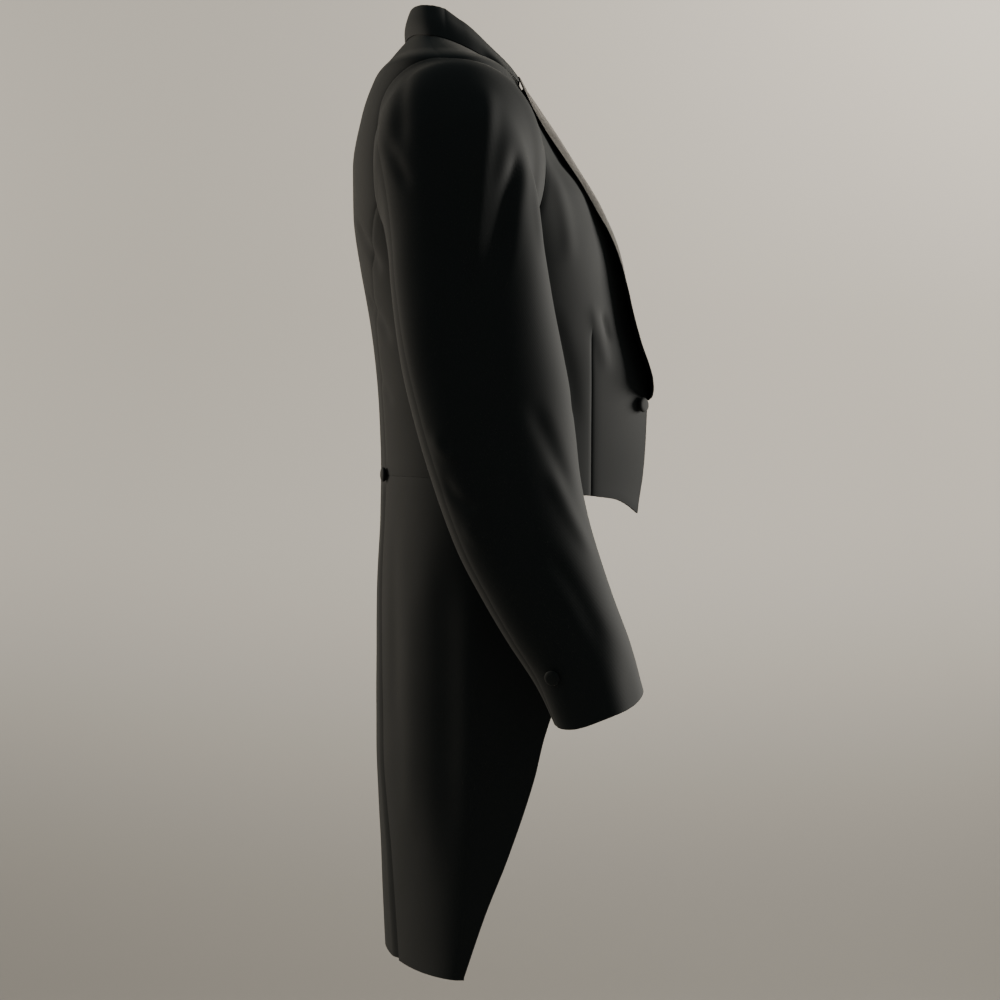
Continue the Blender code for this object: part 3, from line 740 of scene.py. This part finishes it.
# folds of the sleeve: place as (degrees round it, ring number), then depth and half width in mm
sleeveFolds = {
    "right": (
        (((62, 2.6), (68, 4.0), (79, 5.8), (86, 6.7), (94, 7.6)), 4.4, 12),
        (((36, 4.0), (45, 5.0), (57, 5.9), (67, 6.7), (79, 7.6)), -5.4, 11),
        (((14, 3.4), (18, 5.2), (20, 7.0)), 1.8, 8),
        (((122, 0.8), (130, 3.0), (134, 5.0)), -2.4, 12),
        (((150, 3.4), (142, 4.6), (128, 5.6)), -1.8, 9),
        (((152, 10.2), (140, 10.8), (122, 11.0)), 1.8, 9),
        (((156, 11.2), (140, 11.9), (118, 12.2)), -2.0, 9),
        (((150, 12.4), (136, 12.8), (120, 12.9)), 1.2, 8),
        (((70, 9.8), (58, 11.2), (40, 12.6)), -1.8, 12),
        (((66, 11.6), (52, 12.8), (34, 14.2)), 1.5, 10),
        (((86, 13.2), (74, 14.6), (70, 16.0)), -1.2, 11),
        (((-20, 9.0), (-4, 9.9), (14, 10.6)), -1.6, 9),
        (((210, 7.0), (235, 8.0), (262, 8.4)), -2.2, 12),
        (((226, 10.0), (250, 10.8), (284, 11.0)), -2.0, 11),
        (((240, 13.0), (256, 14.0), (280, 15.2)), 1.6, 12),
    ),
    "left": (
        (((63, 2.8), (70, 4.2), (80, 5.9), (85, 6.6), (92, 7.3)), 4.0, 12),
        (((38, 4.2), (46, 5.1), (58, 6.0), (66, 6.7), (76, 7.4)), -4.9, 11),
        (((15, 3.6), (19, 5.2), (21, 6.8)), 1.6, 8),
        (((124, 0.8), (131, 3.2), (136, 5.3)), -2.2, 12),
        (((151, 3.2), (144, 4.4), (131, 5.5)), -1.7, 9),
        (((154, 10.4), (141, 11.0), (124, 11.2)), 1.7, 9),
        (((157, 11.5), (142, 12.1), (121, 12.4)), -1.8, 9),
        (((72, 10.0), (60, 11.5), (44, 12.8)), -1.7, 12),
        (((66, 11.9), (54, 13.0), (37, 14.3)), 1.3, 10),
        (((88, 13.0), (77, 14.4), (72, 15.8)), -1.1, 11),
        (((-21, 9.3), (-5, 10.1), (12, 10.8)), -1.5, 9),
        (((211, 7.3), (233, 8.3), (260, 8.8)), -2.0, 12),
        (((228, 10.3), (251, 11.0), (282, 11.3)), -1.8, 11),
    ),
}


def ringPoint(number, around):
    x, y, z, roll, pitch, fore, across = sleeveRings[number]
    roll, pitch, turn = (math.radians(v) for v in (roll, pitch, sleeveTurns[number]))
    forward = np.array([math.cos(pitch) * math.cos(turn), math.cos(pitch) * math.sin(turn), math.sin(pitch)])
    outer = np.array([math.cos(roll) * math.sin(turn), -math.cos(roll) * math.cos(turn), math.sin(roll)])
    cos, sin = np.cos(around)[:, None], np.sin(around)[:, None]
    power = 2 / sleeve["square"]
    return (np.array([x, y, z]) + forward * np.sign(cos) * fore * np.abs(cos) ** power
            + outer * np.sign(sin) * across * np.abs(sin) ** power)


def armholePoint(around):
    # On the edge of the armhole, just clear of the body cloth.
    z = armholeZ(around)
    x = armholeCentreX(z) + body["armholeHalfWidth"] * np.cos(around)
    base = bodyBase(angleAtX(x, z), z)
    outward = np.maximum(-bodyNormal(base)[:, 1], 0.0) * body["wall"] + 0.0006
    inward = unit(point(armholeCentreX(z) - base[:, 0], 0 * z, armholeZ(0) - z))
    lift = sleeve["wall"] * (1 - np.sin(around)) / 2 + 0.0003
    return base + point(0 * z, -outward, 0 * z) + inward * lift[:, None]


def sleeveTube(around):
    # Rings from the armhole to the cuff, joined by smooth curves along the sleeve.
    rings = [armholePoint(around)] + [ringPoint(number, around) for number in range(len(sleeveRings))]
    rings[-1] = rings[-1] - point(0 * around, 0 * around, sleeve["cuffDrop"] * (1 + np.sin(around)))
    rings = np.array(rings)
    gaps = np.linalg.norm(np.diff(rings, axis=0), axis=2).mean(axis=1)
    before, after = gaps[:-1, None, None], gaps[1:, None, None]
    steps = np.diff(rings, axis=0) / gaps[:, None, None]
    inner = (steps[:-1] * after + steps[1:] * before) / (before + after)
    slopes = np.concatenate([steps[:1], inner, steps[-1:]])
    rows, numbers = [], []
    for i, gap in enumerate(gaps):
        count = max(int(round(gap / sleeve["grain"])), 3)
        for k in range(count):
            t = k / count
            rows.append((2 * t ** 3 - 3 * t ** 2 + 1) * rings[i] + (t ** 3 - 2 * t ** 2 + t) * gap * slopes[i]
                        + (3 * t ** 2 - 2 * t ** 3) * rings[i + 1] + (t ** 3 - t ** 2) * gap * slopes[i + 1])
            numbers.append(i + t)
    rows.append(rings[-1])
    numbers.append(len(gaps))
    return np.array(rows), np.array(numbers)


def aroundBetween(start, end, count):
    fine = np.array(sleeve["seamColumns"])
    return np.concatenate([
        start + fine, np.linspace(start + fine[-1], end - fine[-1], count)[1:-1], end - fine[::-1]])


def tubeNormals(tube):
    # The first and last columns lie on each other, so the steps across run on past the seam.
    lines = np.concatenate([tube, tube[:, 1:2]], axis=1)
    acrossStep = np.gradient(lines, axis=1)[:, :-1]
    acrossStep[:, 0] = lines[:, 1] - lines[:, -3]
    normals = unit(np.cross(np.gradient(tube, axis=0), acrossStep))
    centre = tube.mean(axis=1, keepdims=True)
    return normals * np.sign((normals * (tube - centre)).sum(axis=(1, 2)))[:, None, None]


def sleeveHeights(tube, numbers, around, seams, side):
    mirrored = (tube * [1, side, 1]).reshape(-1, 3)
    height = unevenness(tube.reshape(-1, 3), 0.0004, 11 if side > 0 else 12)
    for path, depth, width in sleeveFolds["right" if side > 0 else "left"]:
        line = []
        for degrees, number in path:
            column = int(np.argmin(np.abs(around - math.radians(degrees))))
            line.append([np.interp(number, numbers, tube[:, column, axis]) for axis in range(3)])
        height += foldHeight(mirrored, np.array(line) * [1, side, 1], depth / 1000, width / 1000)
    height = height.reshape(tube.shape[:2])
    fromSeam = np.minimum.reduce([np.abs(around - seam) for seam in seams]) * 0.05
    height -= 0.0006 * np.exp(-(fromSeam / 0.003) ** 2)
    return height * smooth(numbers / 0.8)[:, None]


def makeSleeve(side, letter):
    front, back = (sleeve[seam] * sleeve["step"] for seam in ("frontSeam", "backSeam"))
    again = front + 2 * math.pi
    top = aroundBetween(front, back, sleeve["topColumns"])
    under = aroundBetween(back, again, sleeve["underColumns"])
    around = np.concatenate([top, under[1:]])
    tube, numbers = sleeveTube(around)
    height = sleeveHeights(tube, numbers, around, (front, back, again), side)
    ripple = sleeve["hemRipple"] * smooth((numbers - sleeve["hemFrom"]) / 1.2)[:, None]
    height += ripple * np.sin(around * 5 + 0.6)
    tube = tube + tubeNormals(tube) * height[..., None]
    tube[..., 2] += ripple * np.sin(around * 4 + 1.9)
    up = lengthsUp(tube)
    seam = len(top) - 1
    for name, points, flat in (("top_sleeve_", tube[:, :seam + 1], (0.31, 0.70)),
                               ("under_sleeve_", tube[:, seam:], (0.24, 0.56))):
        points = points[::-1]
        across = lengthsAcross(points)
        weave = np.stack([across, np.broadcast_to((up[-1] - up[::-1])[:, None], across.shape)], -1)
        piece = makeCloth(name + letter, points, weave, side, sleeve["wall"], woolCloth,
                          [name + letter])


# the lapel: a leaf of silk that rolls over the front edge and stands off the chest

lapel = {
    "wall": 0.0015, "turnIn": 0.0024, "count": 34, "rows": 130, "footZ": -0.3872, "rollTopZ": -0.0600,
    "peakZ": -0.0575,
}

# outer edge of the leaf: height, distance from the middle, and how far forward it stands
lapelEdgeAt = makeCurves(("z", "y", "x"), (
    (-0.0575, 0.146, 0.0675), (-0.0850, 0.139, 0.0800), (-0.1124, 0.135, 0.0955), (-0.1408, 0.1310, 0.1150),
    (-0.1661, 0.127, 0.1325), (-0.1956, 0.122, 0.1500), (-0.2140, 0.119, 0.1608), (-0.2374, 0.114, 0.1712),
    (-0.2740, 0.109, 0.1822), (-0.2940, 0.1055, 0.1868), (-0.3303, 0.101, 0.1968), (-0.3511, 0.0985, 0.2044),
    (-0.3666, 0.0965, 0.2086), (-0.3768, 0.0925, 0.2095), (-0.3830, 0.0860, 0.2088),
    (-0.3862, 0.0790, 0.2076), (-0.3872, 0.0745, 0.2066)))


def lapelRows():
    rows = []
    for t in np.linspace(0, 1, lapel["rows"] + 1) ** 1.15:
        rollZ = mix(lapel["footZ"], lapel["rollTopZ"], t)
        edgeZ = mix(lapel["footZ"], lapel["peakZ"], t)
        edge = lapelEdgeAt(edgeZ)
        base = bodyBase(frontEdge(rollZ), rollZ)
        normal = bodyNormal(base)
        outer = np.array([edge.x, -edge.y, edgeZ])
        back = np.array([0, 1.0, 0])
        upper = float(smooth((rollZ + 0.30) / 0.09))
        crest = base + normal * (body["wall"] + mix(0.0006, 0.0018, upper))
        # round the edge from inside, over the crest and out along the leaf
        line = [base - normal * 0.0012 - back * lapel["turnIn"], base - normal * 0.0010 + back * 0.0022,
                base + normal * 0.0008 + back * 0.0034, crest + back * 0.0026 - normal * 0.0008, crest]
        leaf = outer - crest
        belly = mix(-0.0006, 0.0026, upper) * min(np.linalg.norm(leaf) / 0.03, 1.0)
        for share in (0.12, 0.25, 0.4, 0.55, 0.7, 0.85, 0.95, 1.0):
            bulge = belly * math.sin(math.pi * share) * (1 - 0.35 * share)
            line.append(crest + leaf * share + unit(normal + np.array([0.6, 0, 0])) * bulge)
        rows.append(alongLine(throughPoints(np.array(line), 6), lapel["count"]))
    return np.array(rows)


def makeLapel(side, letter):
    points = lapelRows()
    # the top edge falls from the peak to the notch and meets the collar
    across = lengthsAcross(points)
    share = across / across[:, -1:]
    top = smooth(np.linspace(0, 1, len(points))[:, None] * 6 - 5)
    points[..., 2] -= top * 0.005 * np.exp(-((share - 0.52) / 0.2) ** 2)
    wave = unevenness((points * [1, side, 1]).reshape(-1, 3), 0.0003, 21).reshape(points.shape[:2])
    points[..., 0] += wave * smooth(share * 3)
    weave = np.stack([across, np.broadcast_to(lengthsUp(points)[:, None], across.shape)], -1)
    piece = makeCloth("lapel_" + letter, points, weave, side, lapel["wall"], satinCloth,
                      ["lapel_" + letter], rim=0.0005)


# the collar: one strip, up the stand, over the fold and down the leaf

collar = {"wall": 0.0018, "leafLay": 0.0010, "belly": 0.0032, "count": 34, "rows": 110}

collarAt = makeCurves(("along", "seamAngle", "seamZ", "stand", "lean", "leafAngle", "leafZ"), (
    (0.00, 180, 0.000, 0.032, 0.008, 180, 0.000),
    (0.15, 150, 0.000, 0.032, 0.008, 152, -0.001),
    (0.30, 120, 0.000, 0.031, 0.008, 124, -0.003),
    (0.45, 90, 0.000, 0.029, 0.007, 96, -0.007),
    (0.58, 60, -0.001, 0.0275, 0.006, 68, -0.013),
    (0.72, 0, -0.014, 0.0275, 0.004, 46, -0.023),
    (0.88, 0, -0.036, 0.0185, 0.002, 28, -0.038),
    (1.00, 0, -0.060, 0.0100, 0.000, 21, -0.057)))


def collarLine(along):
    row = collarAt(along)
    seamAngleHere = max(math.radians(float(row.seamAngle)), float(frontEdge(row.seamZ)))
    seam = bodyBase(seamAngleHere, row.seamZ)
    inward = unit(np.array([float(bodyAt(row.seamZ).sideX) - seam[0], -seam[1], 0]))
    fold = seam + inward * row.lean + np.array([0, 0, 1]) * row.stand
    low = seam + inward * 0.0010 + np.array([0, 0, -0.004])
    edge = onBody(math.radians(float(row.leafAngle)), row.leafZ, body["wall"] + collar["leafLay"])
    away = unit(np.array([edge[0] - fold[0], edge[1] - fold[1], 0]))
    up = np.array([0, 0, 1])
    line = [low, mix(seam, fold, 0.35) + inward * 0.0008, mix(seam, fold, 0.75) + inward * 0.0006,
            fold + up * 0.0006, fold + away * 0.0022 + up * 0.0022, fold + away * 0.0050 + up * 0.0004]
    start = fold + away * 0.0050
    for share in (0.2, 0.4, 0.6, 0.8, 1.0):
        line.append(mix(start, edge, share) + away * collar["belly"] * math.sin(math.pi * share))
    return throughPoints(np.array(line), 6)


def makeCollar():
    half = np.array([alongLine(collarLine(along), collar["count"])
                     for along in np.linspace(0, 1, collar["rows"])])
    points = np.concatenate([(half * [1, -1, 1])[1:][::-1], half])
    across = lengthsAcross(points)
    weave = np.stack([across, np.broadcast_to(lengthsUp(points)[:, None], across.shape)], -1)
    piece = makeCloth("collar", points, weave, 1, collar["wall"], woolCloth,
                      ["collar_leaf", "collar_stand"], rim=0.0006)


# covered buttons: cloth drawn over a domed shell, with its gathers turned in behind

button = {"radius": 0.0078, "height": 0.0050, "steps": 48, "air": 0.0008, "cuffAround": (132.0, 126.3, 137.7)}


def makeButton(name, place, normal, side, replaced):
    radius, height = button["radius"], button["height"]
    profile = [(0.0, height * 0.98), (0.30, height * 0.985), (0.58, height * 0.96), (0.78, height * 0.90),
               (0.91, height * 0.78), (0.985, height * 0.62), (1.0, height * 0.46), (0.97, height * 0.30),
               (0.90, height * 0.16), (0.80, height * 0.06), (0.62, 0.0), (0.0, 0.0)]
    mesh = bpy.data.meshes.new(name)
    points = [(r * radius, 0, z) for r, z in profile]
    mesh.from_pydata(points, [(i, i + 1) for i in range(len(points) - 1)], [])
    mesh.materials.append(buttonCloth)
    piece = bpy.data.objects.new(name + "_covered", mesh)
    bpy.context.scene.collection.objects.link(piece)
    turn = piece.modifiers.new("turn", "SCREW")
    turn.steps = turn.render_steps = button["steps"]
    turn.use_merge_vertices = True
    turn.merge_threshold = 0.00002
    turn.use_smooth_shade = True
    place, normal = place * [1, side, 1], normal * [1, side, 1]
    piece.matrix_world = (Matrix.Translation(Vector(place))
                          @ Vector(normal).to_track_quat("Z", "Y").to_matrix().to_4x4())
    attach(piece, "root")
    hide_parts(replaced)


def makeButtons(side, letter):
    for name, front in (("front_button_", True), ("waist_button_", False)):
        y, z = body["frontButton" if front else "waistButton"]
        base = bodyBase(angleAtY(y, z, front), z)
        normal = bodyNormal(base)
        makeButton(name + letter, base + normal * (body["wall"] + button["air"]), normal, side, name + letter)
    around = np.radians(button["cuffAround"])
    here, along = ringPoint(-2, around), ringPoint(-3, around)
    normal = unit(np.cross(along[0] - here[0], here[2] - here[1]))
    makeButton("cuff_button_" + letter, here[0] + normal * (sleeve["wall"] + button["air"]), normal, side,
               "cuff_button_" + letter)


for side, letter in ((1, "R"), (-1, "L")):
    makeForepart(side, letter)
    makeSideBody(side, letter)
    makeBack(side, letter)
    makeTail(side, letter)
    makeSleeve(side, letter)
    makeLapel(side, letter)
    makeButtons(side, letter)
    print("half made:", letter)
makeCollar()
print("collar made")


# studio: pale floor swept up into a wall, two large soft lamps at the sides

studio = {
    # paper colours, then how far painted shade darkens the paper near the floor and far out at the sides
    "paper": "#b9b6b0", "paperCloud": "#c2bfb9", "floorShadeTone": 0.5, "sideShadeTone": 0.3,
    "floorZ": -1.55, "sweepStart": 2.6, "sweepRadius": 1.6, "wallTop": 5.0, "halfWidth": 6.0,
    "lamps": (
        # place, aim, size, watts, colour
        ((-2.20, 0.85, -0.05), (0.0, 0.0, -0.35), (1.2, 1.0), 36, "#fff3e2"),
        ((2.20, 0.62, -0.25), (0.1, 0.0, -0.40), (0.9, 1.1), 98, "#fffaf2"),
        ((1.9, 2.1, 1.5), (0.9, 4.2, 0.6), (1.6, 1.0), 125, "#fff6ea"),     # for the paper only
        ((-2.6, 2.3, 0.6), (-1.6, 4.2, 0.1), (1.0, 1.0), 38, "#fff4e6"),
    ),
    "air": "#b9c4c4", "airSeen": 0.55, "airLight": 0.38,
}


def makeStudio():
    material, tree, shader = startMaterial("studio paper")
    # Seamless paper: matt, with the faintest cloudiness, and with painted shade that darkens it towards the
    # floor and far out at the sides.
    place = addNode(tree, "ShaderNodeTexCoord")
    cloud = addNode(tree, "ShaderNodeTexNoise", {
        "Vector": place.outputs["Object"], "Scale": 0.5, "Detail": 1.0})
    tone = addNode(tree, "ShaderNodeMix", {
        0: cloud.outputs["Fac"], 6: srgb(studio["paper"]), 7: srgb(studio["paperCloud"])}, data_type="RGBA")
    where = addNode(tree, "ShaderNodeSeparateXYZ", {"Vector": place.outputs["Object"]})
    # painted shade: the paper's colour is scaled down towards the floor and far out at the sides, where less
    # lamp light would fall
    floorShade = addNode(tree, "ShaderNodeMapRange", {
        "Value": where.outputs["Z"], "From Min": -1.6, "From Max": -0.5,
        "To Min": studio["floorShadeTone"], "To Max": 1.0}, interpolation_type="SMOOTHSTEP")
    beside = addNode(tree, "ShaderNodeMath", {0: where.outputs["X"]}, operation="ABSOLUTE")
    sideShade = addNode(tree, "ShaderNodeMapRange", {
        "Value": beside.outputs[0], "From Min": 1.6, "From Max": 2.6,
        "To Min": 1.0, "To Max": studio["sideShadeTone"]}, interpolation_type="SMOOTHSTEP")
    both = addNode(tree, "ShaderNodeMath", {
        0: floorShade.outputs[0], 1: sideShade.outputs[0]}, operation="MULTIPLY")
    shadedPaper = addNode(tree, "ShaderNodeVectorMath", {
        0: tone.outputs[2], "Scale": both.outputs[0]}, operation="SCALE")
    tree.links.new(shadedPaper.outputs[0], shader.inputs["Base Color"])
    shader.inputs["Roughness"].default_value = 0.95
    shader.inputs["Specular IOR Level"].default_value = 0.1
    low, start, radius = studio["floorZ"], studio["sweepStart"], studio["sweepRadius"]
    profile = [(-6.0, low), (start, low)]
    profile += [(start + radius * math.sin(a), low + radius * (1 - math.cos(a)))
                for a in np.linspace(0, math.pi / 2, 24)[1:]]
    profile.append((start + radius, studio["wallTop"]))
    mesh = bpy.data.meshes.new("studio sweep")
    half = studio["halfWidth"]
    points = [(x, y, z) for y, z in profile for x in (-half, half)]
    faces = [(2 * i, 2 * i + 1, 2 * i + 3, 2 * i + 2) for i in range(len(profile) - 1)]
    mesh.from_pydata(points, [], faces)
    mesh.materials.append(material)
    mesh.shade_smooth()
    sweep = bpy.data.objects.new("studio_sweep", mesh)
    bpy.context.scene.collection.objects.link(sweep)
    for number, (at, aim, size, watts, colour) in enumerate(studio["lamps"]):
        lamp = bpy.data.lights.new("softbox", "AREA")
        lamp.shape = "RECTANGLE"
        lamp.size, lamp.size_y = size
        lamp.energy = watts
        lamp.color = srgb(colour)[:3]
        holder = bpy.data.objects.new("softbox %d" % number, lamp)
        holder.location = at
        holder.rotation_mode = "QUATERNION"
        holder.rotation_quaternion = (Vector(aim) - Vector(at)).to_track_quat("-Z", "Y")
        bpy.context.scene.collection.objects.link(holder)
    world = bpy.data.worlds.new("studio air")
    world.use_nodes = True
    air = world.node_tree
    rays = addNode(air, "ShaderNodeLightPath")
    strength = addNode(air, "ShaderNodeMapRange", {
        "Value": rays.outputs["Is Camera Ray"], "To Min": studio["airLight"], "To Max": studio["airSeen"]})
    background = air.nodes["Background"]
    background.inputs["Color"].default_value = srgb(studio["air"])
    air.links.new(strength.outputs[0], background.inputs["Strength"])
    bpy.context.scene.world = world


view = {"aim": (0.049, -0.4927), "away": 2.6, "halfFrame": 0.545}     # x and z, distance, metres across / 2


def makeCamera():
    camera = bpy.data.cameras.new("camera")
    camera.sensor_width = 36.0
    camera.lens = camera.sensor_width / 2 * view["away"] / view["halfFrame"]
    holder = bpy.data.objects.new("camera", camera)
    holder.location = (view["aim"][0], -view["away"], view["aim"][1])
    holder.rotation_euler = (math.radians(90), 0, 0)
    bpy.context.scene.collection.objects.link(holder)
    bpy.context.scene.camera = holder


makeStudio()
makeCamera()
print("studio made")

bpy.context.view_layer.update()
